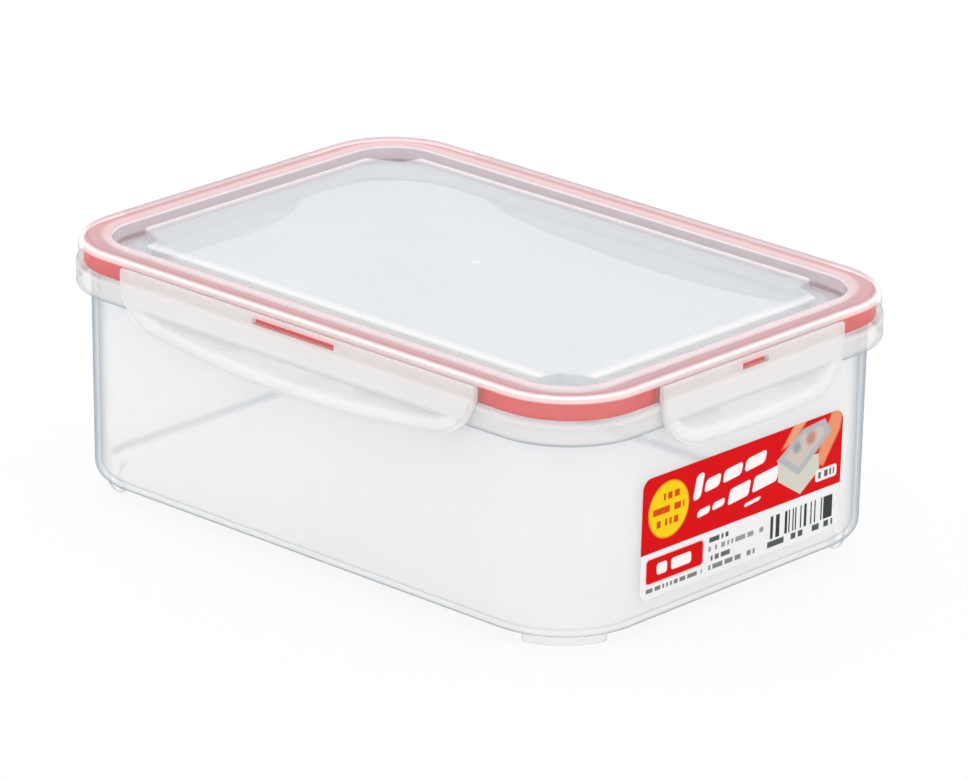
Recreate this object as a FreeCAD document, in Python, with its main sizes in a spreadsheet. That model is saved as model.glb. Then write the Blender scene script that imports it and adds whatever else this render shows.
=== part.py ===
import FreeCAD, Part
import math
import os
import Sketcher

# Food container: a drafted tub on four corner feet, a flat lid with a rim that holds
# a soft seal ring, and four locking flaps that hang from living hinges round the lid.
# +Z is up, X runs along the long sides, and the origin is on the ground under the middle.

DIMENSIONS = [
    # overall plan of the lid rim
    ("rim_length", 194.2, "long side of the lid rim"),
    ("rim_width", 136.2, "short side of the lid rim"),
    ("rim_corner", 23.9, "corner radius of the lid rim"),
    ("lid_top", 71.0, "height of the rim above the ground"),
    # tub
    ("foot_height", 2.8, "gap between the ground and the tub's base"),
    ("tub_wall", 1.6, "thickness of the tub's wall and base"),
    ("mouth_inset", 1.6, "tub wall inside the lid rim, at the mouth"),
    ("base_inset", 2.4, "tub wall inside the lid rim, at the base"),
    ("mouth_corner", 26.6, "corner radius of the tub at the mouth"),
    ("base_round", 3.6, "round under the tub's outer edge"),
    ("floor_round", 2.4, "round where the wall meets the floor inside"),
    # flange that the lid rests on and the flaps hook under
    ("flange_proud", 0.6, "flange outside the lid rim"),
    ("flange_shelf", 1.6, "thickness of the flange's shelf"),
    ("flange_skirt", 1.1, "thickness of the flange's skirt"),
    ("flange_drop", 6.6, "height of the flange"),
    ("flange_round", 0.9, "round on the skirt's lower edge"),
    # corner feet
    ("foot_inset", 3.4, "feet inside the tub's base outline"),
    ("foot_width", 3.0, "width of a foot"),
    ("foot_sweep", 54.0, "degrees of the corner that a foot follows"),
    ("foot_round", 1.0, "round on a foot's lower edges"),
    # lid
    ("lid_wall", 1.4, "thickness of the lid's walls"),
    ("skirt_height", 6.6, "height of the lid's outer skirt"),
    ("skirt_gap", 0.2, "gap between the skirt and the flange"),
    ("rim_band", 9.3, "width of the rim's flat top"),
    ("rim_round", 2.0, "round on the rim's outer edge"),
    ("rim_inner_round", 0.8, "round on the rim's inner edge"),
    ("moat_depth", 4.0, "depth of the moat inside the rim"),
    ("moat_width", 4.8, "width of the moat inside the rim"),
    ("moat_floor", 1.3, "thickness of the moat's floor"),
    ("panel_drop", 0.8, "panel below the top of the rim"),
    ("panel_plate", 1.3, "thickness of the panel"),
    ("panel_round", 0.7, "round on the panel's edge"),
    ("notch_x", 11.2, "corner notch of the panel, along X"),
    ("notch_y", 10.9, "corner notch of the panel, along Y"),
    ("notch_deep_x", 9.8, "depth of the notch from the short side"),
    ("notch_deep_y", 6.4, "depth of the notch from the long side"),
    ("notch_round", 1.6, "round on the notch's upright edges"),
    ("plug_drop", 2.2, "lid's inner wall below the tub's mouth"),
    # seal ring
    ("seal_side_gap", 0.1, "gap between the seal and the walls of its channel"),
    ("seal_slit", 1.8, "width of the slit between the seal's lips"),
    ("seal_slit_depth", 2.6, "depth of the slit"),
    # locking flaps
    ("flap_long", 129.4, "length of a flap on a long side"),
    ("flap_short", 71.0, "length of a flap on a short side"),
    ("flap_proud", 1.9, "flap's upper face outside the rim"),
    ("flap_lip_proud", 4.15, "flap's lower lip outside the rim"),
    ("flap_top", 1.6, "thickness of the flap at its hinge"),
    ("flap_lip", 1.1, "thickness of the lip"),
    ("flap_clear", 0.3, "gap between the flap and the flange"),
    ("flap_step_rise", 0.8, "flap thins this far above the flange"),
    ("flap_bend_drop", 4.6, "flap starts to lean out this far below the rim's top"),
    ("flap_height", 20.4, "flap's lower edge below the rim's top"),
    ("flap_corner", 13.0, "radius of a flap's lower corners"),
    ("flap_bow", 380.0, "radius of a flap's bowed lower edge"),
    ("hinge_drop", 2.4, "hinge axis below the top of the rim"),
    ("slot_height", 1.7, "height of the hinge slot"),
    ("slot_drop", 2.8, "top of the hinge slot below the top of the rim"),
    ("slot_long", 30.0, "hinge slot of a long flap"),
    ("slot_short", 10.2, "hinge slot of a short flap"),
    ("hook_reach", 1.5, "hook under the flange, from the flange's face"),
    ("hook_nose", 0.8, "thickness of the hook's nose"),
    ("hook_height", 3.0, "height of the hook's root"),
    ("hook_long_near", 22.0, "hook of a long flap starts this far from the middle"),
    ("hook_long_far", 50.6, "hook of a long flap ends"),
    ("hook_short_near", 12.0, "hook of a short flap starts"),
    ("hook_short_far", 25.4, "hook of a short flap ends"),
    # label on the short side
    ("label_length", 79.0, "length of the label"),
    ("label_height", 33.6, "height of the label"),
    ("label_corner", 3.0, "corner radius of the label"),
    ("label_film", 0.15, "thickness of the label"),
    ("label_gap", 0.03, "glue under the label"),
    ("label_shift", 0.85, "label's middle beside the wall's middle"),
    ("label_level", 26.6, "height of the label's middle"),
    ("label_skew", 0.5, "degrees that the label is askew"),
]

# Sizes that follow from the ones above.
DERIVED = [
    ("rim_half_x", "rim_length / 2"),
    ("rim_half_y", "rim_width / 2"),
    ("shelf_top", "lid_top - skirt_height - skirt_gap"),
    ("shelf_under", "shelf_top - flange_shelf"),
    ("flange_low", "shelf_top - flange_drop"),
    ("floor_level", "foot_height + tub_wall"),
    ("skirt_low", "lid_top - skirt_height"),
    ("channel_roof", "lid_top - lid_wall"),
    ("moat_level", "lid_top - moat_depth"),
    ("panel_inset", "rim_band + moat_width"),
    ("hinge_level", "lid_top - hinge_drop"),
    ("hinge_out", "flap_proud - flap_top / 2"),
    ("hook_top", "flange_low - flap_clear"),
    ("flap_step", "shelf_top + flap_step_rise"),
    ("flap_bend", "lid_top - flap_bend_drop"),
    ("flap_bottom", "lid_top - flap_height"),
    ("lean", "(base_inset - mouth_inset) / (shelf_top - foot_height)"),
    ("base_corner", "mouth_corner - base_inset + mouth_inset"),
]


def make_sheet(doc):
    """Write the driving dimensions, then the ones worked out from them."""
    sheet = doc.addObject("Spreadsheet::Sheet", "dims")
    sheet.set("A1", "dimension")
    sheet.set("B1", "value")
    for row, (alias, value, note) in enumerate(DIMENSIONS, start=2):
        sheet.set(f"A{row}", alias)
        sheet.set(f"B{row}", str(value))
        sheet.set(f"C{row}", note)
        sheet.setAlias(f"B{row}", alias)
    for row, (alias, formula) in enumerate(DERIVED, start=len(DIMENSIONS) + 3):
        sheet.set(f"A{row}", alias)
        sheet.set(f"B{row}", "=" + formula)
        sheet.setAlias(f"B{row}", alias)
    doc.recompute()
    return sheet


def number(obj, expression):
    """Value of an expression over the sheet, as a plain float."""
    value = obj.evalExpression(expression)
    return float(getattr(value, "Value", value))


# ---------------------------------------------------------------- sketches

def new_body(doc, label):
    body = doc.addObject("PartDesign::Body", label)
    body.Label = label
    return body


def new_sketch(body, name, role, offset=None):
    """Sketch on one of the body's own origin planes, moved along the plane's normal."""
    sketch = body.newObject("Sketcher::SketchObject", name)
    plane = next(item for item in body.Origin.OriginFeatures if item.Role == role)
    sketch.AttachmentSupport = [(plane, "")]
    sketch.MapMode = "FlatFace"
    if offset is not None:
        sketch.setExpression("AttachmentOffset.Base.z", offset)
    return sketch


def dimension(sketch, constraint, expression):
    """Add a dimension to the sketch and tie it to an expression."""
    index = sketch.addConstraint(constraint)
    sketch.setExpression(f"Constraints[{index}]", expression)


def circle_arc(centre, radius, start, end):
    """Arc from one angle to another, counter-clockwise, in degrees."""
    circle = Part.Circle(centre, FreeCAD.Vector(0, 0, 1), radius)
    return Part.ArcOfCircle(circle, math.radians(start), math.radians(end))


def add_rounded_rectangle(sketch, length, width, radius):
    """Rectangle with round corners about the origin, sized by three expressions."""
    half_x = number(sketch, length) / 2
    half_y = number(sketch, width) / 2
    r = number(sketch, radius)
    first = sketch.GeometryCount
    corners = ((1, -1, -90), (1, 1, 0), (-1, 1, 90), (-1, -1, 180))
    for sign_x, sign_y, angle in corners:
        centre = FreeCAD.Vector(sign_x * (half_x - r), sign_y * (half_y - r), 0)
        sketch.addGeometry(circle_arc(centre, r, angle, angle + 90))
    for side in range(4):
        start = sketch.getPoint(first + (side + 3) % 4, 2)
        end = sketch.getPoint(first + side, 1)
        sketch.addGeometry(Part.LineSegment(start, end))
    for side in range(4):
        arc = first + side
        line = first + 4 + side
        before = first + (side + 3) % 4
        sketch.addConstraint(Sketcher.Constraint("Tangent", before, 2, line, 1))
        sketch.addConstraint(Sketcher.Constraint("Tangent", line, 2, arc, 1))
        direction = "Horizontal" if side % 2 == 0 else "Vertical"
        sketch.addConstraint(Sketcher.Constraint(direction, line))
    for side in range(1, 4):
        sketch.addConstraint(Sketcher.Constraint("Equal", first, first + side))
    bottom, right, top, left = range(first + 4, first + 8)
    sketch.addConstraint(Sketcher.Constraint("Symmetric", bottom, 1, top, 1, -1, 1))
    dimension(sketch, Sketcher.Constraint("DistanceX", left, 1, right, 1, 2 * half_x), length)
    dimension(sketch, Sketcher.Constraint("DistanceY", bottom, 1, top, 1, 2 * half_y), width)
    dimension(sketch, Sketcher.Constraint("Radius", first, r), radius)


def add_inset_rectangle(sketch, inset):
    """The lid rim's outline, brought inwards by an expression."""
    add_rounded_rectangle(
        sketch,
        f"dims.rim_length - 2 * ({inset})",
        f"dims.rim_width - 2 * ({inset})",
        f"dims.rim_corner - ({inset})",
    )


def add_outline(sketch, corners, tangent_arc=None):
    """Closed outline through corners given as pairs of expressions.

    The edge that starts at the corner tangent_arc is an arc, tangent to the edge before it.
    """
    points = [FreeCAD.Vector(number(sketch, x), number(sketch, y), 0) for x, y in corners]
    first = sketch.GeometryCount
    count = len(points)
    for index, point in enumerate(points):
        following = points[(index + 1) % count]
        if index == tangent_arc:
            along = (point - points[index - 1]).normalize()
            across = FreeCAD.Vector(-along.y, along.x, 0)
            chord = following - point
            middle = point + chord / 2
            radius = chord.Length ** 2 / (2 * across.dot(chord))
            centre = point + across * radius
            away = (middle - centre).normalize() * abs(radius)
            sketch.addGeometry(Part.Arc(point, centre + away, following))
        else:
            sketch.addGeometry(Part.LineSegment(point, following))
    ends = []
    for index in range(count):
        forward = sketch.getPoint(first + index, 1).isEqual(points[index], 1e-6)
        ends.append((1, 2) if forward else (2, 1))
    for index, (x, y) in enumerate(corners):
        geometry = first + index
        start = ends[index][0]
        before = first + (index - 1) % count
        before_end = ends[(index - 1) % count][1]
        joint = "Tangent" if index == tangent_arc else "Coincident"
        sketch.addConstraint(Sketcher.Constraint(joint, before, before_end, geometry, start))
        if index == tangent_arc:
            dimension(sketch, Sketcher.Constraint(
                "DistanceY", -1, 1, geometry, start, points[index].y), y)
            continue
        dimension(sketch, Sketcher.Constraint(
            "DistanceX", -1, 1, geometry, start, points[index].x), x)
        dimension(sketch, Sketcher.Constraint(
            "DistanceY", -1, 1, geometry, start, points[index].y), y)


# ---------------------------------------------------------------- features

def extrude(body, kind, name, sketch, length=None, down=False, both_ways=False):
    """Pad or pocket of a sketch. With no length a pocket goes through everything."""
    feature = body.newObject(kind, name)
    feature.Profile = sketch
    if length is None:
        feature.Type = "ThroughAll"
    else:
        feature.setExpression("Length", length)
    feature.Reversed = down
    feature.Midplane = both_ways
    body.Document.recompute()
    return feature


def pad(body, name, sketch, length, **options):
    return extrude(body, "PartDesign::Pad", name, sketch, length, **options)


def pocket(body, name, sketch, length=None, **options):
    before = body.Shape.Volume
    feature = extrude(body, "PartDesign::Pocket", name, sketch, length, **options)
    if not body.Shape.Volume < before:
        raise RuntimeError(f"{body.Label}: {name} cuts nothing")
    return feature


def fillet(body, name, radius, wanted):
    """Round the edges of the body's last feature that pass the test."""
    base = body.Tip
    edges = [f"Edge{i}" for i, edge in enumerate(base.Shape.Edges, start=1) if wanted(edge)]
    feature = body.newObject("PartDesign::Fillet", name)
    feature.Base = (base, edges)
    feature.setExpression("Radius", radius)
    body.Document.recompute()
    return feature


def level_edge(edge, level):
    box = edge.BoundBox
    return abs(box.ZMin - level) < 1e-4 and abs(box.ZMax - level) < 1e-4


def edge_middle(edge):
    return edge.valueAt((edge.FirstParameter + edge.LastParameter) / 2)


def outside_of(point, half_x, half_y):
    """True when the point lies on or beyond a rectangle about the origin."""
    return abs(point.x) > half_x or abs(point.y) > half_y


# ---------------------------------------------------------------- sub-parts

def make_tub(doc):
    """Drafted tub with a skirted flange round its mouth and four corner feet."""
    body = new_body(doc, "tub")

    def mouth_outline(name, wall):
        sketch = new_sketch(body, name, "XY_Plane", "dims.shelf_top")
        inset = f"(dims.mouth_inset + {wall})"
        add_rounded_rectangle(
            sketch,
            f"dims.rim_length - 2 * {inset}",
            f"dims.rim_width - 2 * {inset}",
            f"dims.mouth_corner - {wall}",
        )
        return sketch

    wall = pad(body, "wall", mouth_outline("outer_outline", "0"),
               "dims.shelf_top - dims.foot_height", down=True)
    wall.setExpression("TaperAngle", "-atan(dims.lean)")
    doc.recompute()
    under = number(body, "dims.foot_height")
    fillet(body, "base_edge", "dims.base_round", lambda edge: level_edge(edge, under))

    shelf = new_sketch(body, "shelf_outline", "XY_Plane", "dims.shelf_under")
    add_inset_rectangle(shelf, "-dims.flange_proud")
    pad(body, "shelf", shelf, "dims.flange_shelf")
    skirt = new_sketch(body, "skirt_outline", "XY_Plane", "dims.flange_low")
    add_inset_rectangle(skirt, "-dims.flange_proud")
    add_inset_rectangle(skirt, "dims.flange_skirt - dims.flange_proud")
    pad(body, "skirt", skirt, "dims.flange_drop - dims.flange_shelf / 2")
    low = number(body, "dims.flange_low")
    side_x = number(body, "dims.rim_half_x")
    side_y = number(body, "dims.rim_half_y")
    corner = number(body, "dims.rim_corner") * (1 - math.sqrt(0.5))

    def outer_skirt_edge(edge):
        middle = edge_middle(edge)
        on_corner = abs(middle.x) > side_x - corner and abs(middle.y) > side_y - corner
        return level_edge(edge, low) and (outside_of(middle, side_x, side_y) or on_corner)

    fillet(body, "skirt_edge", "dims.flange_round", outer_skirt_edge)

    cavity = pocket(body, "cavity", mouth_outline("inner_outline", "dims.tub_wall"),
                    "dims.shelf_top - dims.floor_level")
    cavity.setExpression("TaperAngle", "-atan(dims.lean)")
    doc.recompute()
    floor = number(body, "dims.floor_level")
    fillet(body, "floor_edge", "dims.floor_round", lambda edge: level_edge(edge, floor))

    add_feet(body)
    return body


def add_feet(body):
    """Four curved feet that follow the corners of the base."""
    sketch = new_sketch(body, "feet_outline", "XY_Plane")
    outer = number(body, "dims.base_corner - dims.foot_inset")
    inner = outer - number(body, "dims.foot_width")
    sweep = number(body, "dims.foot_sweep")
    centre_x = "dims.rim_half_x - dims.base_inset - dims.base_corner"
    centre_y = "dims.rim_half_y - dims.base_inset - dims.base_corner"
    for sign_x, sign_y, middle in ((1, 1, 45), (-1, 1, 135), (-1, -1, 225), (1, -1, 315)):
        centre = FreeCAD.Vector(
            sign_x * number(body, centre_x), sign_y * number(body, centre_y), 0)
        start = middle - sweep / 2
        end = middle + sweep / 2
        first = sketch.GeometryCount
        sketch.addGeometry(circle_arc(centre, outer, start, end))
        sketch.addGeometry(circle_arc(centre, inner, start, end))
        for angle, turn in ((end, 0), (start, 180)):
            radial = FreeCAD.Vector(math.cos(math.radians(angle)), math.sin(math.radians(angle)), 0)
            cap_centre = centre + radial * (inner + outer) / 2
            cap = circle_arc(cap_centre, (outer - inner) / 2, angle + turn, angle + turn + 180)
            sketch.addGeometry(cap)
        out, into, end_cap, start_cap = range(first, first + 4)
        sketch.addConstraint(Sketcher.Constraint("Coincident", out, 3, into, 3))
        sketch.addConstraint(Sketcher.Constraint("Tangent", out, 2, end_cap, 1))
        sketch.addConstraint(Sketcher.Constraint("Tangent", end_cap, 2, into, 2))
        sketch.addConstraint(Sketcher.Constraint("Tangent", into, 1, start_cap, 1))
        sketch.addConstraint(Sketcher.Constraint("Tangent", start_cap, 2, out, 1))
        dimension(sketch, Sketcher.Constraint("DistanceX", -1, 1, out, 3, centre.x),
                  f"{sign_x} * ({centre_x})")
        dimension(sketch, Sketcher.Constraint("DistanceY", -1, 1, out, 3, centre.y),
                  f"{sign_y} * ({centre_y})")
        dimension(sketch, Sketcher.Constraint("Radius", out, outer),
                  "dims.base_corner - dims.foot_inset")
        dimension(sketch, Sketcher.Constraint("Radius", end_cap, (outer - inner) / 2),
                  "dims.foot_width / 2")
        for cap, sign_end in ((end_cap, 1), (start_cap, -1)):
            angle = math.radians(middle + sign_end * sweep / 2)
            radius = (inner + outer) / 2
            dimension(sketch, Sketcher.Constraint(
                "DistanceX", out, 3, cap, 3, radius * math.cos(angle)),
                "(dims.base_corner - dims.foot_inset - dims.foot_width / 2)"
                f" * cos({middle}deg + {sign_end} * dims.foot_sweep / 2 * 1deg)")
    pad(body, "feet", sketch, "dims.foot_height + dims.tub_wall / 2")
    fillet(body, "foot_edges", "dims.foot_round", lambda edge: level_edge(edge, 0.0))


def panel_corners(inset):
    """Outline of the lid's panel: a rectangle with a notch at each corner."""
    half_x = f"(dims.rim_half_x - dims.panel_inset - {inset})"
    half_y = f"(dims.rim_half_y - dims.panel_inset - {inset})"
    quarter = [
        (half_x, f"({half_y} - dims.notch_y)"),
        (f"({half_x} - dims.notch_deep_x)", f"({half_y} - dims.notch_deep_y)"),
        (f"({half_x} - dims.notch_x)", half_y),
    ]
    corners = []
    for sign_x, sign_y in ((1, 1), (-1, 1), (-1, -1), (1, -1)):
        turned = quarter if sign_x == sign_y else quarter[::-1]
        corners += [(f"{sign_x} * {x}", f"{sign_y} * {y}") for x, y in turned]
    return corners


def make_lid(doc):
    """Lid: a hollow rim with the seal channel below, a moat, and a notched flat panel."""
    body = new_body(doc, "lid")

    rim = new_sketch(body, "rim_outline", "XY_Plane", "dims.skirt_low")
    add_inset_rectangle(rim, "0")
    pad(body, "rim", rim, "dims.skirt_height")
    plug_inset = "dims.rim_band - dims.lid_wall"
    plug = new_sketch(body, "plug_outline", "XY_Plane", "dims.shelf_top - dims.plug_drop")
    add_inset_rectangle(plug, plug_inset)
    pad(body, "plug", plug, "dims.plug_drop + dims.skirt_height / 2")
    top = number(body, "dims.lid_top")
    fillet(body, "rim_edge", "dims.rim_round", lambda edge: level_edge(edge, top))

    moat = new_sketch(body, "moat_outline", "XY_Plane", "dims.lid_top")
    add_inset_rectangle(moat, "dims.rim_band")
    add_outline(moat, panel_corners("0"))
    pocket(body, "moat", moat, "dims.moat_depth")
    half_x = number(body, "dims.rim_half_x - dims.rim_band")
    half_y = number(body, "dims.rim_half_y - dims.rim_band")
    reach = number(body, "dims.rim_half_x - dims.panel_inset")
    reach_y = number(body, "dims.rim_half_y - dims.panel_inset")

    def panel_upright(edge):
        box = edge.BoundBox
        middle = edge_middle(edge)
        upright = box.XLength < 1e-4 and box.YLength < 1e-4
        on_panel = abs(middle.x) < reach + 0.1 and abs(middle.y) < reach_y + 0.1
        return upright and on_panel and middle.z > number(body, "dims.moat_level")

    fillet(body, "notch_edges", "dims.notch_round", panel_upright)
    level = new_sketch(body, "panel_outline", "XY_Plane", "dims.lid_top")
    add_inset_rectangle(level, "dims.rim_band")
    pocket(body, "panel_level", level, "dims.panel_drop")
    panel_top = number(body, "dims.lid_top - dims.panel_drop")

    def panel_edge(edge):
        middle = edge_middle(edge)
        return level_edge(edge, panel_top) and not outside_of(middle, reach + 0.1, reach_y + 0.1)

    fillet(body, "panel_edge", "dims.panel_round", panel_edge)

    def rim_inner_edge(edge):
        middle = edge_middle(edge)
        return level_edge(edge, top) and not outside_of(middle, half_x + 0.1, half_y + 0.1)

    fillet(body, "rim_inner_edge", "dims.rim_inner_round", rim_inner_edge)

    channel = new_sketch(body, "channel_outline", "XY_Plane", "dims.channel_roof")
    add_inset_rectangle(channel, "dims.lid_wall")
    add_inset_rectangle(channel, plug_inset)
    pocket(body, "seal_channel", channel, "dims.skirt_height + dims.plug_drop")
    under_moat = new_sketch(body, "moat_underside", "XY_Plane", "dims.moat_level - dims.moat_floor")
    add_inset_rectangle(under_moat, "dims.rim_band")
    pocket(body, "moat_underside_cut", under_moat, "dims.skirt_height + dims.plug_drop")
    under_panel = new_sketch(
        body, "panel_underside", "XY_Plane", "dims.lid_top - dims.panel_drop - dims.panel_plate")
    add_outline(under_panel, panel_corners("dims.lid_wall"))
    pocket(body, "panel_underside_cut", under_panel, "dims.skirt_height + dims.plug_drop")
    return body


def make_seal(doc):
    """Seal ring in the rim's channel, with two lips that press on the tub's mouth."""
    body = new_body(doc, "seal")
    outer = "dims.lid_wall + dims.seal_side_gap"
    inner = "dims.rim_band - dims.lid_wall - dims.seal_side_gap"
    ring = new_sketch(body, "ring_outline", "XY_Plane", "dims.shelf_top")
    add_inset_rectangle(ring, outer)
    add_inset_rectangle(ring, inner)
    pad(body, "ring", ring, "dims.channel_roof - dims.shelf_top")
    middle = "(dims.rim_band / 2)"
    slit = new_sketch(body, "slit_outline", "XY_Plane", "dims.shelf_top + dims.seal_slit_depth")
    add_inset_rectangle(slit, f"{middle} - dims.seal_slit / 2")
    add_inset_rectangle(slit, f"{middle} + dims.seal_slit / 2")
    pocket(body, "slit", slit, "dims.seal_slit_depth")
    return body


def make_label(doc):
    """Thin label on the wall of the short side, leaning with the wall's draft."""
    body = new_body(doc, "label")
    sketch = new_sketch(body, "label_outline", "YZ_Plane", "dims.label_gap")
    add_rounded_rectangle(sketch, "dims.label_length", "dims.label_height", "dims.label_corner")
    sketch.setExpression("AttachmentOffset.Rotation.Angle", "-dims.label_skew * 1deg")
    pad(body, "film", sketch, "dims.label_film")
    body.Placement = FreeCAD.Placement(FreeCAD.Vector(), FreeCAD.Rotation(FreeCAD.Vector(0, 1, 0), 1))
    body.setExpression("Placement.Rotation.Angle", "atan(dims.lean)")
    wall_face = ("dims.rim_half_x - dims.base_inset"
                 " + (dims.label_level - dims.foot_height) * dims.lean")
    body.setExpression("Placement.Base.x", wall_face)
    body.setExpression("Placement.Base.y", "dims.label_shift")
    body.setExpression("Placement.Base.z", "dims.label_level")
    return body


def add_flap_outline(sketch, length):
    """Front view of a flap: straight top, round lower corners, bowed lower edge."""
    half = number(sketch, length) / 2
    top = number(sketch, "dims.lid_top")
    corner = number(sketch, "dims.flap_corner")
    bow = number(sketch, "dims.flap_bow")
    bow_level = number(sketch, "dims.flap_bottom") + bow
    corner_level = bow_level - math.sqrt((bow - corner) ** 2 - (half - corner) ** 2)
    lean = math.degrees(math.atan2(half - corner, bow_level - corner_level))
    upper_left = FreeCAD.Vector(-half, top, 0)
    upper_right = FreeCAD.Vector(half, top, 0)
    right_end = FreeCAD.Vector(half, corner_level, 0)
    left_end = FreeCAD.Vector(-half, corner_level, 0)
    right_centre = FreeCAD.Vector(half - corner, corner_level, 0)
    left_centre = FreeCAD.Vector(corner - half, corner_level, 0)
    first = sketch.GeometryCount
    sketch.addGeometry(Part.LineSegment(upper_left, upper_right))
    sketch.addGeometry(Part.LineSegment(upper_right, right_end))
    sketch.addGeometry(circle_arc(right_centre, corner, -90 + lean, 0))
    sketch.addGeometry(circle_arc(FreeCAD.Vector(0, bow_level, 0), bow, -90 - lean, -90 + lean))
    sketch.addGeometry(circle_arc(left_centre, corner, 180, 270 - lean))
    sketch.addGeometry(Part.LineSegment(left_end, upper_left))
    above, right, right_arc, low_arc, left_arc, left = range(first, first + 6)
    sketch.addConstraint(Sketcher.Constraint("Coincident", above, 2, right, 1))
    sketch.addConstraint(Sketcher.Constraint("Coincident", left, 2, above, 1))
    sketch.addConstraint(Sketcher.Constraint("Tangent", right, 2, right_arc, 2))
    sketch.addConstraint(Sketcher.Constraint("Tangent", right_arc, 1, low_arc, 2))
    sketch.addConstraint(Sketcher.Constraint("Tangent", low_arc, 1, left_arc, 2))
    sketch.addConstraint(Sketcher.Constraint("Tangent", left_arc, 1, left, 1))
    sketch.addConstraint(Sketcher.Constraint("Vertical", right))
    sketch.addConstraint(Sketcher.Constraint("Vertical", left))
    sketch.addConstraint(Sketcher.Constraint("Equal", right_arc, left_arc))
    sketch.addConstraint(Sketcher.Constraint("Symmetric", above, 1, above, 2, -2))
    sketch.addConstraint(Sketcher.Constraint("PointOnObject", low_arc, 3, -2))
    dimension(sketch, Sketcher.Constraint("DistanceX", above, 1, above, 2, 2 * half), length)
    dimension(sketch, Sketcher.Constraint("DistanceY", -1, 1, above, 1, top), "dims.lid_top")
    dimension(sketch, Sketcher.Constraint("Radius", right_arc, corner), "dims.flap_corner")
    dimension(sketch, Sketcher.Constraint("Radius", low_arc, bow), "dims.flap_bow")
    dimension(sketch, Sketcher.Constraint("DistanceY", -1, 1, low_arc, 3, bow_level),
              "dims.flap_bottom + dims.flap_bow")


def make_flap(doc, label, face, length, slot, hook_near, hook_far, turn):
    """Locking flap, drawn on the -Y side and turned to its own side of the lid.

    face is the distance from the middle to the lid's rim on that side.
    """
    body = new_body(doc, label)

    def out(distance):
        return f"-({face} + {distance})"

    section = new_sketch(body, "section", "YZ_Plane")
    hinge = "dims.hinge_level"
    below = "dims.flap_bottom - dims.flap_lip"
    thin = "(dims.flange_proud + dims.flap_clear)"
    add_outline(section, [
        (out("dims.flap_proud"), hinge),
        (out("dims.flap_proud"), "dims.flap_bend"),
        (out("dims.flap_lip_proud"), below),
        (out("dims.flap_lip_proud - dims.flap_lip"), below),
        (out(thin), "dims.hook_top - dims.hook_height"),
        (out(thin), "dims.flap_step"),
        (out("dims.flap_proud - dims.flap_top"), "dims.flap_step + dims.flap_clear"),
        (out("dims.flap_proud - dims.flap_top"), hinge),
    ], tangent_arc=1)
    pad(body, "plate", section, length, both_ways=True)

    knuckle = new_sketch(body, "knuckle", "YZ_Plane")
    centre = FreeCAD.Vector(number(knuckle, out("dims.hinge_out")), number(knuckle, hinge), 0)
    radius = number(knuckle, "dims.flap_top / 2")
    knuckle.addGeometry(Part.Circle(centre, FreeCAD.Vector(0, 0, 1), radius))
    dimension(knuckle, Sketcher.Constraint("DistanceX", -1, 1, 0, 3, centre.x), out("dims.hinge_out"))
    dimension(knuckle, Sketcher.Constraint("DistanceY", -1, 1, 0, 3, centre.y), hinge)
    dimension(knuckle, Sketcher.Constraint("Radius", 0, radius), "dims.flap_top / 2")
    pad(body, "hinge_knuckle", knuckle, length, both_ways=True)

    outline = new_sketch(body, "outline", "XZ_Plane")
    beside = f"({length} / 2 + dims.lid_top)"
    low = "-dims.lid_top"
    high = "2 * dims.lid_top"
    add_outline(outline, [
        (f"-{beside}", low), (beside, low), (beside, high), (f"-{beside}", high)])
    add_flap_outline(outline, length)
    pocket(body, "trim", outline, both_ways=True)

    for side in (1, -1):
        start = hook_near if side > 0 else hook_far
        hook = new_sketch(body, f"hook_{'right' if side > 0 else 'left'}", "YZ_Plane",
                          f"{side} * {start}")
        nose = "dims.flange_proud - dims.hook_reach"
        add_outline(hook, [
            (out(f"{thin} + dims.flap_lip / 2"), "dims.hook_top"),
            (out(f"{thin} + dims.flap_lip / 2"), "dims.hook_top - dims.hook_height"),
            (out(thin), "dims.hook_top - dims.hook_height"),
            (out(nose), "dims.hook_top - dims.hook_nose"),
            (out(nose), "dims.hook_top"),
        ])
        pad(body, f"hook_pad_{'right' if side > 0 else 'left'}", hook, f"{hook_far} - {hook_near}")

    window = new_sketch(body, "slot_outline", "XZ_Plane")
    slot_top = "dims.lid_top - dims.slot_drop"
    add_outline(window, [
        (f"-{slot} / 2", f"{slot_top} - dims.slot_height"),
        (f"{slot} / 2", f"{slot_top} - dims.slot_height"),
        (f"{slot} / 2", slot_top),
        (f"-{slot} / 2", slot_top),
    ])
    pocket(body, "hinge_slot", window, both_ways=True)
    body.Placement = FreeCAD.Placement(
        FreeCAD.Vector(), FreeCAD.Rotation(FreeCAD.Vector(0, 0, 1), turn))
    return body


FLAPS = [
    ("front_flap", "dims.rim_half_y", "long", 0),
    ("right_flap", "dims.rim_half_x", "short", 90),
    ("back_flap", "dims.rim_half_y", "long", 180),
    ("left_flap", "dims.rim_half_x", "short", 270),
]


def check(doc, bodies):
    """Stop if any object failed to build, or a sub-part has no valid solid."""
    for obj in doc.Objects:
        if {"Invalid", "Error"} & set(obj.State):
            raise RuntimeError(f"{obj.Label} failed: {obj.State}")
    for body in bodies:
        shape = body.Shape
        if shape.isNull() or not shape.isValid() or len(shape.Solids) != 1:
            raise RuntimeError(f"{body.Label} is not one valid solid")


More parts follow.
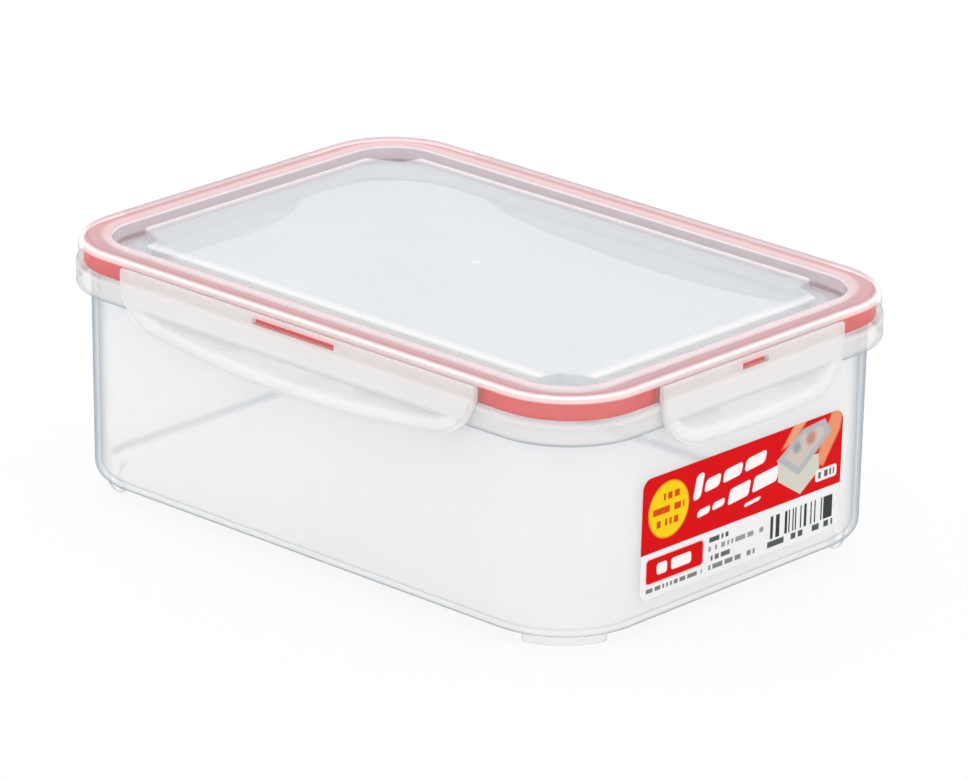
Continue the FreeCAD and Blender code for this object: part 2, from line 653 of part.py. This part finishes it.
def main():
    doc = FreeCAD.newDocument("container")
    make_sheet(doc)
    bodies = [make_tub(doc), make_lid(doc), make_seal(doc), make_label(doc)]
    for label, face, size, turn in FLAPS:
        bodies.append(make_flap(
            doc, label, face, f"dims.flap_{size}", f"dims.slot_{size}",
            f"dims.hook_{size}_near", f"dims.hook_{size}_far", turn))
    doc.recompute()
    check(doc, bodies)
    os.makedirs("parts", exist_ok=True)
    for body in bodies:
        body.Shape.exportStep(f"parts/{body.Label}.step")
        print(f"{body.Label}: {body.Shape.Volume / 1000:.2f} cm3, {body.Shape.BoundBox}")


main()
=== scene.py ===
import math

import bmesh
import bpy
from mathutils import Matrix, Vector

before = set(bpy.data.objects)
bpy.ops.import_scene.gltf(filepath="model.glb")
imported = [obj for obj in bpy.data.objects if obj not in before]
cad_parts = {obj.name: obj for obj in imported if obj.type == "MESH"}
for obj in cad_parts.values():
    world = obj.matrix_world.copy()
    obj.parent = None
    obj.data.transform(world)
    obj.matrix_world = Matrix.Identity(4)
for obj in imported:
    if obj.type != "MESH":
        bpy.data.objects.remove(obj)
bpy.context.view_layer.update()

MM = 0.001

# Plan and heights of the container, in millimetres.
RIM_HALF_X = 97.1
RIM_HALF_Y = 68.1
RIM_CORNER = 23.9
FLANGE_LOW = 57.6
SHELF_TOP = 64.2
BASE_UNDER = 2.8
WALL_CORNER = 26.6
FLAP_HALF_LONG = 64.7
FLAP_HALF_SHORT = 35.5
FLAP_LOW = 50.6
FLAP_CORNER = 13.0
FLAP_BOW = 380.0
LABEL_MIDDLE = 0.85
LABEL_LEAN = math.tan(math.radians(0.5))

# Half lengths along the long and the short sides, in millimetres.
COVERED_HALF = (64.4, 35.2)
LID_SLOT_HALF = (15.6, 5.7)
FLAP_SLOT_HALF = (15.4, 5.5)

# Tub: spans of height, and of depth within the rim's outline, in millimetres.
INNER_FACE = (-2.95, -2.7)
# Upper wall: where the inner face gets a painted blue-grey shade.
UPPER_WALL = (30.0, 56.0)
FOOT_X, FOOT_Y, FOOT_FADE = 74.0, 45.0, 6.0
FOOT_SOFT = 0.3
# Base edge: where a painted shade line runs.
BASE_EDGE_RISE, BASE_EDGE_HALF = 0.7, 1.4
BASE_EDGE_INSIDE = (-6.2, -5.6)
FLANGE_SOFT = 0.2
FLANGE_INSIDE = (-1.5, -1.2)
# Lower lip: where a painted shade line runs.
LOWER_LIP_RISE, LOWER_LIP_HALF = 0.4, 0.6
UPPER_LIP_DROP, UPPER_LIP_HALF = 0.9, 0.8

# Lid, measured in the same way.
# Rim: tinted pink, painted light of the seal beneath.
CROWN_RISE = (70.0, 70.5)
RIM_INSIDE = (-9.9, -9.5)
RIM_MIDDLE = (-7.0, -5.6)
# Rim line: a painted dark shade line.
RIM_LINE, RIM_LINE_HALF = -2.5, 1.1
# Brow: a painted highlight on the rim's outer rounding.
BROW_RISE = (69.0, 69.5)
BROW_INSIDE = (-1.7, -0.9)
# Rim's inner wall: a painted highlight.
RIM_WALL_INSIDE = (-9.9, -9.4)
RIM_WALL_OUTSIDE = (-7.7, -7.3)
PANEL_EDGE = (-15.0, -13.8)
# Border: a painted highlight along the panel's edge.
BORDER_RISE = (69.6, 69.9)
BORDER, BORDER_HALF = -15.0, 3.4
GATE_RADIUS, GATE_SOFT = 1.1, 0.8
SKIRT_INSIDE = (-1.7, -1.2)
# Lit slot: the lit seal's red, painted into the skirt.
LIT_SLOT, LIT_SLOT_HALF = 66.6, 2.0

# Flaps.
FLAP_TOP = 70.0
# Thin zone: less hazy, with a painted grey shade.
THIN_RISE = (58.8, 60.4)
THIN_INSIDE = (-4.6, -3.2)
HINGE_RISE = (65.2, 66.6)
# Edge line: a painted shade line.
EDGE_LINE, EDGE_LINE_HALF = -0.5, 0.7
# Slot floor: the lit seal's red, painted.
FLAP_SLOT, FLAP_SLOT_REACH = 67.4, 1.6
# Hooks: painted shade lines.
HOOK, HOOK_HALF = 58.4, 0.5
HOOK_PLACE, HOOK_SPAN = 0.55, (0.215, 0.225)

# Seal: a crown painted lighter as painted light, and a crease painted as a dark shade line.
SEAL_CROWN_RISE = (68.9, 69.3)
CREASE, CREASE_HALF = -5.9, 0.8

# Width of a printed edge, in millimetres.
PRINT_SOFT = 0.22

# Studio: strength of the light all round, share of the floor that glows white to the eye.
STUDIO_LIGHT = 1.17
FLOOR_GLOW = 0.85
FLOOR_HALF = 6.0
TRANSPARENT_LAYERS = 40

# Camera: bearing, height angle and roll in degrees, distance and aim in metres, lens in mm.
CAMERA_BEARING, CAMERA_HEIGHT, CAMERA_ROLL = 42.846, 20.239, 0.826
CAMERA_DISTANCE, CAMERA_AIM, CAMERA_LENS = 1.7893, (0.002264, 0.001234, 0.03410), 247.14


# ---------------------------------------------------------------- finishes

class Term:
    """A number in a finish. Its operators add Math nodes."""

    def __init__(self, finish, socket):
        self.finish = finish
        self.socket = socket

    def join(self, operation, first, second=0.0, third=0.0, clamp=False):
        settings = {"operation": operation, "use_clamp": clamp}
        made = self.finish.node("ShaderNodeMath", settings, {0: first, 1: second, 2: third})
        return Term(self.finish, made.outputs[0])

    def __add__(self, other):
        return self.join("ADD", self, other)

    __radd__ = __add__

    def __sub__(self, other):
        return self.join("SUBTRACT", self, other)

    def __rsub__(self, other):
        return self.join("SUBTRACT", other, self)

    def __mul__(self, other):
        return self.join("MULTIPLY", self, other)

    __rmul__ = __mul__

    def __truediv__(self, other):
        return self.join("DIVIDE", self, other)

    def __pow__(self, other):
        return self.join("POWER", self, other)

    def __abs__(self):
        return self.join("ABSOLUTE", self)

    def larger(self, other):
        return self.join("MAXIMUM", self, other)

    def smaller(self, other):
        return self.join("MINIMUM", self, other)

    def root(self):
        return self.join("SQRT", self)

    def clamped(self):
        return self.join("ADD", self, 0.0, clamp=True)

    def whole(self):
        return self.join("FLOOR", self)

    def above(self, level):
        return self.join("GREATER_THAN", self, level)

    def ramp(self, start, end, low=0.0, high=1.0):
        """low before start and high after end, straight in between."""
        ends = {"From Min": start, "From Max": end, "To Min": low, "To Max": high}
        made = self.finish.node("ShaderNodeMapRange", None, {"Value": self, **ends})
        return Term(self.finish, made.outputs[0])


class Finish:
    """One material, whose nodes are added from expressions."""

    def __init__(self, name):
        self.material = bpy.data.materials.new(name)
        self.material.use_nodes = True
        self.tree = self.material.node_tree
        self.tree.nodes.clear()

    def node(self, kind, settings=None, inputs=None):
        made = self.tree.nodes.new(kind)
        for key, value in (settings or {}).items():
            setattr(made, key, value)
        for key, value in (inputs or {}).items():
            if isinstance(value, Term):
                value = value.socket
            if isinstance(value, bpy.types.NodeSocket):
                self.tree.links.new(value, made.inputs[key])
            elif made.inputs[key].type == "RGBA" and len(value) == 3:
                made.inputs[key].default_value = (*value, 1.0)
            else:
                made.inputs[key].default_value = value
        return made

    def split(self, vector):
        made = self.node("ShaderNodeSeparateXYZ", None, {0: vector})
        return [Term(self, made.outputs[i]) for i in range(3)]

    def place(self):
        """Object coordinates as three numbers in millimetres."""
        coordinates = self.node("ShaderNodeTexCoord")
        scaled = self.node("ShaderNodeVectorMath", {"operation": "SCALE"},
                           {0: coordinates.outputs["Object"], "Scale": 1 / MM})
        return self.split(scaled.outputs[0])

    def slope(self):
        """1 where the surface is level and 0 where it is upright."""
        coordinates = self.node("ShaderNodeTexCoord")
        return abs(self.split(coordinates.outputs["Normal"])[2])

    def object_point(self):
        return self.node("ShaderNodeTexCoord").outputs["Object"]

    def noise(self, size, detail=2.0, stretch=(1.0, 1.0, 1.0)):
        """Noise about 0.5 whose patches are about size millimetres across."""
        point = self.node("ShaderNodeMapping", None,
                          {"Vector": self.object_point(), "Scale": stretch})
        made = self.node("ShaderNodeTexNoise", None,
                         {"Vector": point.outputs[0], "Scale": 1 / (size * MM), "Detail": detail})
        return Term(self, made.outputs[0])

    def chance(self, value):
        """A number from 0 to 1 that differs for each whole value."""
        made = self.node("ShaderNodeTexWhiteNoise", {"noise_dimensions": "1D"}, {"W": value})
        return Term(self, made.outputs[0])

    def tint(self, factor, first, second):
        """Colour that goes from first to second with the factor."""
        made = self.node("ShaderNodeMix", {"data_type": "RGBA"},
                         {"Factor": factor, 6: first, 7: second})
        return made.outputs[2]

    def relief(self, height, distance, strength=1.0):
        """Normal for a height that runs from 0 to 1, distance millimetres deep."""
        made = self.node("ShaderNodeBump", None,
                         {"Height": height, "Distance": distance * MM, "Strength": strength})
        return made.outputs[0]

    def skin(self, **inputs):
        """Principled shader with its sockets named with underscores for spaces."""
        named = {key.replace("_", " "): value for key, value in inputs.items()}
        return self.node("ShaderNodeBsdfPrincipled", None, named).outputs[0]

    def blend(self, factor, first, second):
        made = self.node("ShaderNodeMixShader", None, {0: factor, 1: first, 2: second})
        return made.outputs[0]

    def turned(self):
        """1 where the surface is seen edge on, falling to 0 where it is seen square."""
        facing = self.node("ShaderNodeLayerWeight", None, {"Blend": 0.5})
        return Term(self, facing.outputs["Facing"])

    def done(self, shader):
        self.node("ShaderNodeOutputMaterial", None, {0: shader})
        return self.material


def linear(red, green, blue):
    """Linear colour of a display colour given from 0 to 255."""
    def channel(value):
        value = value / 255
        if value <= 0.04045:
            return value / 12.92
        return ((value + 0.055) / 1.055) ** 2.4
    return (channel(red), channel(green), channel(blue))


def outline_depth(across, along, half_x, half_y, corner):
    """Millimetres outside a rounded rectangle, below 0 inside it."""
    over_x = abs(across) - (half_x - corner)
    over_y = abs(along) - (half_y - corner)
    out_x = over_x.larger(0.0)
    out_y = over_y.larger(0.0)
    return (out_x * out_x + out_y * out_y).root() + over_x.larger(over_y).smaller(0.0) - corner


def inside_of(depth, soft):
    """1 well inside an outline and 0 outside it, over a soft edge."""
    return depth.ramp(-soft / 2, soft / 2, 1.0, 0.0)


def patch(u, v, left, right, low, high, corner, soft=PRINT_SOFT):
    """Mask of a rounded rectangle."""
    depth = outline_depth(u - (left + right) / 2, v - (low + high) / 2,
                          (right - left) / 2, (high - low) / 2, corner)
    return inside_of(depth, soft)


def disc(u, v, centre, radius, soft=PRINT_SOFT):
    over_u = u - centre[0]
    over_v = v - centre[1]
    return inside_of((over_u * over_u + over_v * over_v).root() - radius, soft)


def facet(u, v, corners, soft=PRINT_SOFT):
    """Mask of a convex outline whose corners run anticlockwise."""
    mask = None
    for first, second in zip(corners, corners[1:] + corners[:1]):
        run = second[0] - first[0]
        rise = second[1] - first[1]
        length = math.hypot(run, rise)
        level = (first[0] * rise - first[1] * run) / length
        side = (v * (run / length) - u * (rise / length) + level).ramp(-soft / 2, soft / 2)
        mask = side if mask is None else mask.smaller(side)
    return mask


def by_side(long_side, on_long, on_short):
    """One value on the long sides and another on the short sides."""
    return long_side * on_long + (1 - long_side) * on_short


def stripe(value, middle, half_width):
    """1 on a line and 0 at half_width to each side of it."""
    return abs(value - middle).ramp(0.0, half_width, 1.0, 0.0)


def tub_plastic():
    """Milky natural polypropylene: hazy face on, blue-grey where the wall is seen edge on, with
    painted shade as a blue-grey upper inner face and as dark lines along the base's bend and the
    flange's lower lip.
    """
    finish = Finish("milky_polypropylene")
    x, y, z = finish.place()
    flow = finish.noise(38.0, 2.0, (1.0, 1.0, 0.35))
    depth = outline_depth(x, y, RIM_HALF_X, RIM_HALF_Y, WALL_CORNER)
    inner = 1 - depth.ramp(*INNER_FACE)
    upper = z.ramp(*UPPER_WALL)
    foot = 1 - z.ramp(BASE_UNDER - FOOT_SOFT, BASE_UNDER + FOOT_SOFT)
    near_foot = (abs(x) - FOOT_X).smaller(abs(y) - FOOT_Y).ramp(0.0, FOOT_FADE)
    # Painted shade: a dark blue-grey line along the base's bend, fainter near the feet.
    base_edge_shade = stripe(z, BASE_UNDER + BASE_EDGE_RISE, BASE_EDGE_HALF)
    base_edge_shade = base_edge_shade * depth.ramp(*BASE_EDGE_INSIDE) * (1 - 0.8 * near_foot)
    flange = z.ramp(FLANGE_LOW - FLANGE_SOFT, FLANGE_LOW) * depth.ramp(*FLANGE_INSIDE)
    # Painted shade: a dark line along the flange's lower lip.
    lower_lip_shade = flange * stripe(z, FLANGE_LOW + LOWER_LIP_RISE, LOWER_LIP_HALF)
    upper_lip = flange * stripe(z, SHELF_TOP - UPPER_LIP_DROP, UPPER_LIP_HALF)
    haze = (0.305 + 0.05 * flow + 0.12 * foot + 0.58 * base_edge_shade + 0.06 * flange
            + 0.24 * lower_lip_shade + 0.30 * upper_lip)
    outer_tone = finish.tint(flow, linear(253, 254, 254), linear(255, 255, 255))
    # Painted shade: the inner face turns blue-grey towards the top.
    inner_shade_tone = finish.tint(upper, linear(255, 255, 255), linear(234, 241, 250))
    colour = finish.tint(inner, outer_tone, inner_shade_tone)
    colour = finish.tint(flange, colour, linear(240, 237, 236))
    # Painted shade along the flange's lower lip.
    colour = finish.tint(lower_lip_shade, colour, linear(132, 148, 162))
    # Painted shade along the base's bend.
    colour = finish.tint(base_edge_shade, colour, linear(160, 174, 184))
    normal = finish.relief(flow, 0.05, 0.4)
    wall = finish.skin(Base_Color=colour, Roughness=0.26 + 0.12 * flow, IOR=1.49,
                       Alpha=haze, Normal=normal)
    edge = finish.skin(Base_Color=linear(118, 144, 162), Roughness=0.4, Alpha=0.92, IOR=1.49)
    upright = 1 - finish.slope().ramp(0.93, 0.98)
    rim_side = 1 - 0.7 * z.ramp(FLANGE_LOW - 0.4, FLANGE_LOW)
    seen_along = finish.turned().ramp(0.53, 0.93) ** 1.5
    return finish.done(finish.blend(seen_along * upright * rim_side, wall, edge))


def lid_plastic():
    """Clear polypropylene of the lid, hazier on the rim than on the flat panel, with painted light
    and shade: the rim tinted pink for the lit seal beneath, a dark shade line round the rim, white
    highlights on the brow, the rim's inner wall and the panel's border, and the lit seal's red in
    the skirt at the slots.
    """
    finish = Finish("clear_polypropylene")
    x, y, z = finish.place()
    cloud = finish.noise(26.0, 2.0)
    depth = outline_depth(x, y, RIM_HALF_X, RIM_HALF_Y, RIM_CORNER)
    slope = finish.slope()
    rim = z.ramp(*CROWN_RISE) * depth.ramp(*RIM_INSIDE)
    inner_half = rim * (1 - depth.ramp(*RIM_MIDDLE))
    # Painted shade: a dark mauve line round the rim.
    line = rim * stripe(depth, RIM_LINE, RIM_LINE_HALF)
    # Painted highlight: the rim's outer rounding is hazy white.
    brow_highlight = z.ramp(*BROW_RISE) * depth.ramp(*BROW_INSIDE)
    # Painted highlight: the rim's inner wall is hazy white.
    inner_wall_highlight = (1 - slope.ramp(0.3, 0.8)) * depth.ramp(*RIM_WALL_INSIDE)
    inner_wall_highlight = inner_wall_highlight * (1 - depth.ramp(*RIM_WALL_OUTSIDE))
    panel = 1 - depth.ramp(*PANEL_EDGE)
    # Painted highlight: a white line along the panel's edge.
    border_highlight = z.ramp(*BORDER_RISE) * stripe(depth, BORDER, BORDER_HALF)
    gate = panel * disc(x, y, (0.0, 0.0), GATE_RADIUS, GATE_SOFT)
    long_side = (abs(y) - (RIM_HALF_Y - 3.0)).ramp(0.0, 0.2)
    along = by_side(long_side, abs(x), abs(y))
    covered = 1 - (along / by_side(long_side, *COVERED_HALF)).ramp(0.99, 1.0)
    skirt = depth.ramp(*SKIRT_INSIDE) * (1 - z.ramp(*BROW_RISE))
    in_slot = 1 - (along / by_side(long_side, *LID_SLOT_HALF)).ramp(0.97, 1.0)
    # Painted light: the lit seal's red painted into the skirt at the slots.
    slot_seal_light = skirt * in_slot * stripe(z, LIT_SLOT, LIT_SLOT_HALF).ramp(0.0, 0.3)
    haze = (0.055 + 0.295 * panel + 0.34 * rim + 0.22 * inner_half + 0.24 * line
            + 0.50 * brow_highlight + 0.50 * inner_wall_highlight + 0.26 * border_highlight + 0.40 * skirt * covered
            + 0.40 * slot_seal_light + 0.05 * cloud)
    tone = finish.tint(panel, linear(250, 250, 251), linear(226, 231, 236))
    # Painted light: the rim is tinted pink for the lit seal beneath.
    tone = finish.tint(rim, tone, linear(255, 234, 236))
    # Painted highlight on the rim's inner wall.
    tone = finish.tint(inner_wall_highlight, tone, linear(247, 242, 248))
    # Painted shade: the dark mauve rim line.
    tone = finish.tint(line, tone, linear(198, 158, 168))
    # Painted highlights on the brow and the border; the gate is a real moulding mark.
    tone = finish.tint((brow_highlight + border_highlight + gate).clamped(), tone, linear(255, 249, 250))
    tone = finish.tint(skirt * covered, tone, linear(244, 226, 226))
    # Painted light: the lit seal's red in the slots.
    tone = finish.tint(slot_seal_light, tone, linear(238, 116, 116))
    normal = finish.relief(cloud + 0.4 * gate, 0.05, 0.4)
    wall = finish.skin(Base_Color=tone, Roughness=0.12 + 0.08 * cloud, IOR=1.49,
                       Alpha=haze, Normal=normal)
    edge = finish.skin(Base_Color=linear(150, 150, 160), Roughness=0.2, Alpha=0.85, IOR=1.49)
    return finish.done(finish.blend(finish.turned().ramp(0.7, 1.0) ** 2.0, wall, edge))


def flap_plastic():
    """Thicker polypropylene of the flaps, thinner between the hinge band and the lip, where a grey
    shade is painted, with painted shade lines along the edge and at the hooks and the lit seal's
    red painted on the slot floors.
    """
    finish = Finish("flap_polypropylene")
    x, y, z = finish.place()
    cloud = finish.noise(16.0, 3.0)
    grain = finish.noise(0.9, 2.0)
    long_side = (abs(y) - 66.0).ramp(0.0, 0.2)
    along = by_side(long_side, abs(x), abs(y))
    half = by_side(long_side, FLAP_HALF_LONG, FLAP_HALF_SHORT)
    drop = z - along * along / (2 * FLAP_BOW)
    depth = outline_depth(along, drop - FLAP_TOP, half, FLAP_TOP - FLAP_LOW, FLAP_CORNER)
    # Painted shade: a grey line along the flap's edge.
    edge_shade_line = stripe(depth, EDGE_LINE, EDGE_LINE_HALF)
    # Thinner zone, more see-through, with a painted grey shade of the recess.
    thin_and_shaded = (1 - z.ramp(*THIN_RISE)) * (1 - depth.ramp(*THIN_INSIDE))
    hinge = z.ramp(*HINGE_RISE)
    # Painted light: the lit seal's red on the slot floors.
    slot_floor_light = finish.slope().ramp(0.5, 0.9) * stripe(z, FLAP_SLOT, FLAP_SLOT_REACH).ramp(0.0, 0.3)
    slot_floor_light = slot_floor_light * (1 - (along / by_side(long_side, *FLAP_SLOT_HALF)).ramp(0.96, 1.0))
    # Painted shade: grey lines at the hooks.
    hook_shade_line = stripe(z, HOOK, HOOK_HALF) * thin_and_shaded * (
        abs(along / half - HOOK_PLACE).ramp(*HOOK_SPAN, 1.0, 0.0))
    haze = (0.52 + 0.05 * cloud - 0.16 * thin_and_shaded - 0.10 * hinge + 0.20 * edge_shade_line + 0.16 * hook_shade_line)
    colour = finish.tint(cloud, linear(250, 249, 248), linear(253, 252, 251))
    # Painted grey shade in the thin zone.
    colour = finish.tint(thin_and_shaded, colour, linear(243, 243, 244))
    # Painted shade lines at the edge and the hooks.
    colour = finish.tint((edge_shade_line * 0.7 + hook_shade_line * 0.5).clamped(), colour, linear(200, 202, 204))
    # Painted light: the lit seal's red on the slot floors.
    colour = finish.tint(slot_floor_light, colour, linear(238, 130, 130))
    normal = finish.relief(0.8 * cloud + 0.2 * grain, 0.06, 0.5)
    wall = finish.skin(Base_Color=colour, Roughness=0.26 + 0.10 * grain, IOR=1.49,
                       Alpha=haze, Normal=normal)
    edge = finish.skin(Base_Color=linear(190, 190, 192), Roughness=0.3, Alpha=0.92, IOR=1.49)
    return finish.done(finish.blend(finish.turned().ramp(0.7, 1.0) ** 2.0, wall, edge))


def seal_rubber():
    """Coral red silicone with a fine matt grain, a top painted lighter as painted light, and a
    dark crease along its top that is painted shade.
    """
    finish = Finish("red_silicone")
    x, y, z = finish.place()
    grain = finish.noise(0.5, 3.0)
    cloud = finish.noise(9.0, 2.0)
    depth = outline_depth(x, y, RIM_HALF_X, RIM_HALF_Y, RIM_CORNER)
    # Painted light: the seal's top is lighter.
    crown_light = z.ramp(*SEAL_CROWN_RISE)
    # Painted shade: a dark line for a crease along the top.
    crease = crown_light * stripe(depth, CREASE, CREASE_HALF)
    colour = finish.tint(cloud, linear(218, 48, 46), linear(230, 62, 58))
    # Painted light on the seal's top.
    colour = finish.tint(crown_light, colour, linear(250, 112, 114))
    # Painted shade of the crease.
    colour = finish.tint(crease, colour, linear(168, 70, 82))
    normal = finish.relief(grain, 0.03, 0.6)
    return finish.done(finish.skin(
        Base_Color=colour, Roughness=0.46 + 0.14 * grain, IOR=1.41, Specular_IOR_Level=0.3,
        Normal=normal))


# Print: display colours, and millimetres along the label and above the ground.
RED = (214, 2, 10)
FILM = (232, 234, 233)
YELLOW = (240, 204, 16)
WHITE = (250, 240, 240)
FIELD_LOW = (22.45, 22.6)
BADGE = (-28.5, 33.2)
BADGE_RADIUS, BADGE_RING = 7.5, 7.9


def text_row(finish, u, v, left, right, low, high, cell, share):
    """Mask of a row of small marks, like a line of small print seen from afar."""
    drawn = finish.chance((u / cell).whole() + low).above(1 - share)
    return patch(u, v, left, right, low, high, 0.2) * drawn


def label_print():
    """Printed film: a red field over a pale strip, with plain shapes in place of words."""
    finish = Finish("label_print")
    _, y, z = finish.place()
    grain = finish.noise(0.5, 3.0)
    cloud = finish.noise(7.0, 2.0)
    v = z + LABEL_LEAN * (y - LABEL_MIDDLE)
    colour = finish.tint(cloud, linear(*FILM), linear(238, 240, 239))

    def paint(mask, tone):
        nonlocal colour
        colour = finish.tint(mask, colour, linear(*tone))

    paint(v.ramp(*FIELD_LOW), RED)
    paint(disc(y, v, BADGE, BADGE_RING), (238, 150, 24))
    paint(disc(y, v, BADGE, BADGE_RADIUS), YELLOW)
    for left, right, low in ((-32.6, -24.4, 36.0), (-34.6, -22.4, 32.4), (-33.0, -24.0, 28.8)):
        paint(text_row(finish, y, v, left, right, low, low + 1.9, 0.85, 0.72), (214, 70, 30))

    lean = y - 0.22 * v
    rise = v - 0.10 * y
    for left, right, low, high in (
            (-26.4, -23.4, 34.6, 41.4), (-22.2, -16.4, 35.4, 38.8), (-15.2, -8.0, 35.4, 38.8),
            (-6.8, 1.2, 35.4, 38.8)):
        paint(patch(lean, rise, left, right, low, high, 1.2), WHITE)
    for left, right, low, high in (
            (-23.4, -18.6, 29.2, 31.2), (-17.6, -13.0, 29.2, 31.2), (-11.4, -3.4, 28.4, 32.6),
            (-2.0, 7.6, 28.4, 32.6), (-4.4, 2.2, 25.4, 26.4)):
        paint(patch(lean, rise, left, right, low, high, 0.9), WHITE)

    paint(facet(y, v, [(29.6, 30.4), (33.0, 29.2), (39.2, 38.0), (40.6, 44.0), (36.0, 44.0)], 0.8),
          (230, 146, 104))
    paint(facet(y, v, [(16.0, 38.0), (20.0, 38.6), (26.0, 44.0), (21.0, 44.0)], 0.8),
          (232, 158, 118))
    paint(facet(y, v, [(14.4, 35.0), (14.8, 29.2), (24.0, 23.4), (31.4, 28.4), (31.0, 33.0)]),
          (206, 206, 192))
    paint(facet(y, v, [(14.0, 35.2), (23.0, 29.0), (36.0, 38.2), (33.0, 42.4), (24.0, 41.6)], 0.5),
          (176, 180, 184))
    paint(facet(y, v, [(17.0, 35.4), (23.0, 31.2), (33.4, 38.4), (31.4, 40.8), (24.6, 40.2)], 0.9),
          (204, 190, 184))
    paint(disc(y, v, (22.0, 37.0), 1.6, 1.2), (150, 162, 158))
    paint(disc(y, v, (27.6, 38.4), 1.9, 1.4), (190, 140, 120))
    paint(patch(y, v, 30.0, 38.6, 25.0, 28.4, 0.9), (236, 232, 230))
    paint(text_row(finish, y, v, 31.2, 37.6, 25.8, 27.6, 0.7, 0.7), (90, 88, 90))

    paint(patch(y, v, -37.0, -13.9, 13.5, 21.3, 1.5), (240, 214, 214))
    paint(patch(y, v, -36.5, -14.4, 14.0, 20.8, 1.1), RED)
    for left, right in ((-32.4, -28.4), (-26.8, -19.0)):
        paint(patch(y, v, left, right, 15.8, 19.0, 0.9), WHITE)
    paint(text_row(finish, y, v, -36.4, -14.6, 11.5, 12.7, 0.75, 0.7), (120, 124, 122))
    for right, low, tone in ((-4.4, 19.2, (84, 88, 90)), (9.6, 16.7, (150, 152, 152)),
                             (-3.6, 14.0, (100, 104, 104)), (7.4, 11.5, (128, 132, 130))):
        paint(text_row(finish, y, v, -12.2, right, low, low + 1.4, 0.8, 0.72), tone)
    bars = finish.chance((y / 0.52).whole() + 7.0).above(0.46)
    paint(patch(y, v, 12.4, 38.2, 13.6, 20.0, 0.1) * bars, (58, 62, 60))
    paint(text_row(finish, y, v, 10.2, 37.8, 11.3, 13.0, 0.95, 0.66), (84, 88, 88))
    normal = finish.relief(cloud, 0.03, 0.4)
    return finish.done(finish.skin(Base_Color=colour, Roughness=0.34 + 0.10 * grain,
                                   Specular_IOR_Level=0.05, Normal=normal))


def floor_finish():
    """Pale floor that stays white to the eye and keeps a soft shadow."""
    finish = Finish("studio_floor")
    path = finish.node("ShaderNodeLightPath")
    seen = Term(finish, path.outputs["Is Camera Ray"])
    seen = seen.larger(Term(finish, path.outputs["Is Glossy Ray"]))
    seen = seen.larger(Term(finish, path.outputs["Is Transmission Ray"]))
    matt = finish.skin(Base_Color=(0.9, 0.9, 0.9), Roughness=0.9)
    white = finish.node("ShaderNodeEmission", None, {"Color": (1.0, 1.0, 1.0), "Strength": 1.0})
    return finish.done(finish.blend(seen * FLOOR_GLOW, matt, white.outputs[0]))


# ---------------------------------------------------------------- pieces

def dress(node, material):
    """Give a CAD node its finish."""
    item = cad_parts[node]
    item.data.materials.clear()
    item.data.materials.append(material)


dress("tub", tub_plastic())
dress("lid", lid_plastic())
dress("seal", seal_rubber())
dress("label", label_print())
flap_finish = flap_plastic()
for side in ("front", "right", "back", "left"):
    dress(f"{side}_flap", flap_finish)


# ---------------------------------------------------------------- studio

def add_floor():
    build = bmesh.new()
    bmesh.ops.create_grid(build, x_segments=2, y_segments=2, size=FLOOR_HALF)
    mesh = bpy.data.meshes.new("floor")
    build.to_mesh(mesh)
    build.free()
    floor = bpy.data.objects.new("floor", mesh)
    bpy.context.scene.collection.objects.link(floor)
    mesh.materials.append(floor_finish())


def add_world():
    """Even studio light from all round, as in a light tent, and a white ground for the view."""
    world = bpy.data.worlds.new("studio")
    bpy.context.scene.world = world
    world.cycles.sampling_method = "NONE"
    world.use_nodes = True
    tree = world.node_tree
    tree.nodes.clear()
    path = tree.nodes.new("ShaderNodeLightPath")
    lit = tree.nodes.new("ShaderNodeBackground")
    lit.inputs["Color"].default_value = (1.0, 1.0, 1.0, 1.0)
    lit.inputs["Strength"].default_value = STUDIO_LIGHT
    seen = tree.nodes.new("ShaderNodeBackground")
    seen.inputs["Color"].default_value = (1.0, 1.0, 1.0, 1.0)
    mix = tree.nodes.new("ShaderNodeMixShader")
    output = tree.nodes.new("ShaderNodeOutputWorld")
    tree.links.new(path.outputs["Is Camera Ray"], mix.inputs[0])
    tree.links.new(lit.outputs[0], mix.inputs[1])
    tree.links.new(seen.outputs[0], mix.inputs[2])
    tree.links.new(mix.outputs[0], output.inputs[0])


def add_camera(azimuth, elevation, roll, distance, aim, lens):
    """Camera that looks at a point from a bearing, a height angle and a small roll."""
    a = math.radians(azimuth)
    e = math.radians(elevation)
    back = Vector((math.sin(a) * math.cos(e), -math.cos(a) * math.cos(e), math.sin(e)))
    data = bpy.data.cameras.new("camera")
    data.sensor_width = 36.0
    data.lens = lens
    data.clip_start = 0.05
    data.clip_end = 50.0
    camera = bpy.data.objects.new("camera", data)
    bpy.context.scene.collection.objects.link(camera)
    camera.location = Vector(aim) + back * distance
    camera.rotation_mode = "QUATERNION"
    turn = (-back).to_track_quat("-Z", "Y")
    lean = Matrix.Rotation(math.radians(roll), 4, "Z").to_quaternion()
    camera.rotation_quaternion = turn @ lean
    bpy.context.scene.camera = camera


add_floor()
add_world()
add_camera(CAMERA_BEARING, CAMERA_HEIGHT, CAMERA_ROLL, CAMERA_DISTANCE, CAMERA_AIM, CAMERA_LENS)

scene = bpy.context.scene
scene.view_settings.view_transform = "Standard"
scene.cycles.transparent_max_bounces = TRANSPARENT_LAYERS
